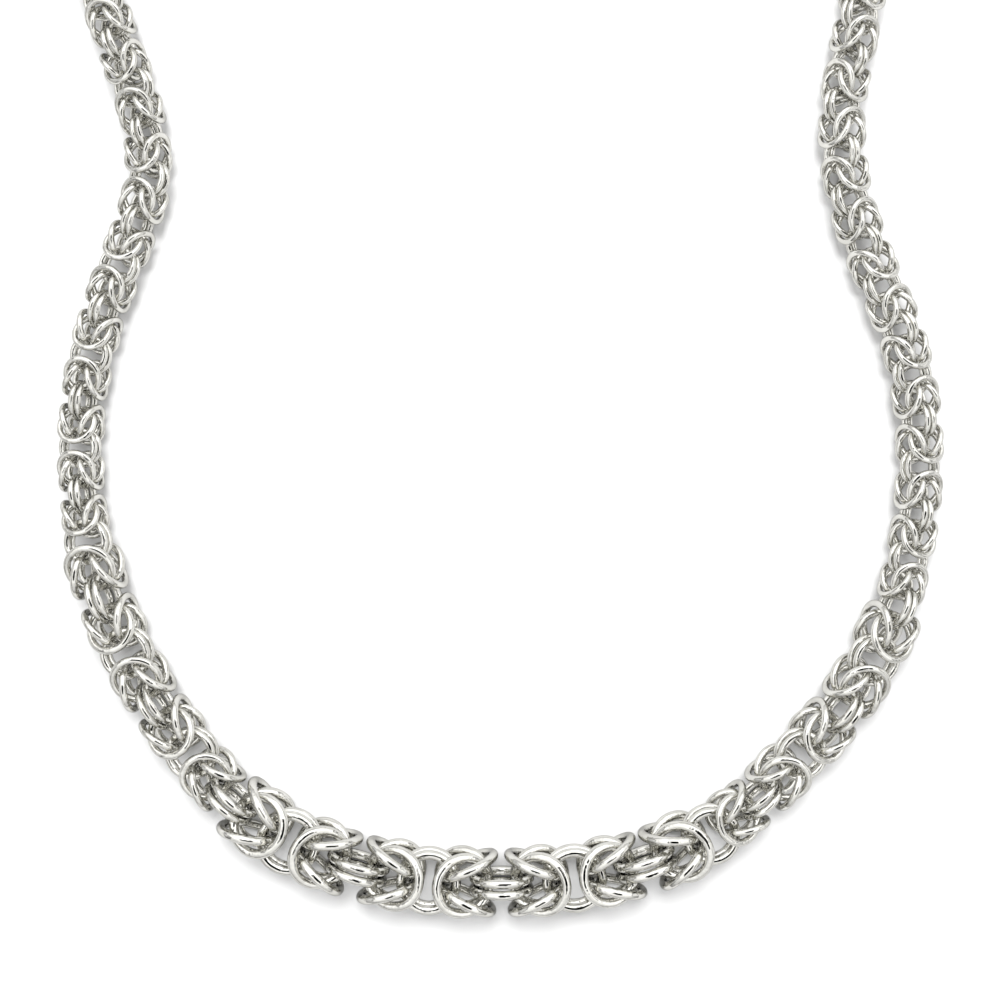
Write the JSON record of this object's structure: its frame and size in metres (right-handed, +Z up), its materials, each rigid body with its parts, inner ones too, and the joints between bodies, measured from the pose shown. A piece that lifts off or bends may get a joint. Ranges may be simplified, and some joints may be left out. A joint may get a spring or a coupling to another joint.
{
  "type": "byzantine chain necklace",
  "caption": "Graduated byzantine chain necklace of round wire rings, closed with a plain barrel clasp, lying flat as a whole loop.",
  "frame": {"origin": "middle of the necklace's outline, on the surface that it lies on", "axes": "+X across the necklace, +Y from its front toward its clasp, +Z up from the surface"},
  "size_m": [0.1112, 0.1666, 0.0083],
  "materials": {
    "chain": "polished silver",
    "clasp": "polished silver"
  },
  "bodies": {
    "root": {"front_links": "chain", "back_chain": "chain", "clasp": "clasp"}
  },
  "joints": []
}
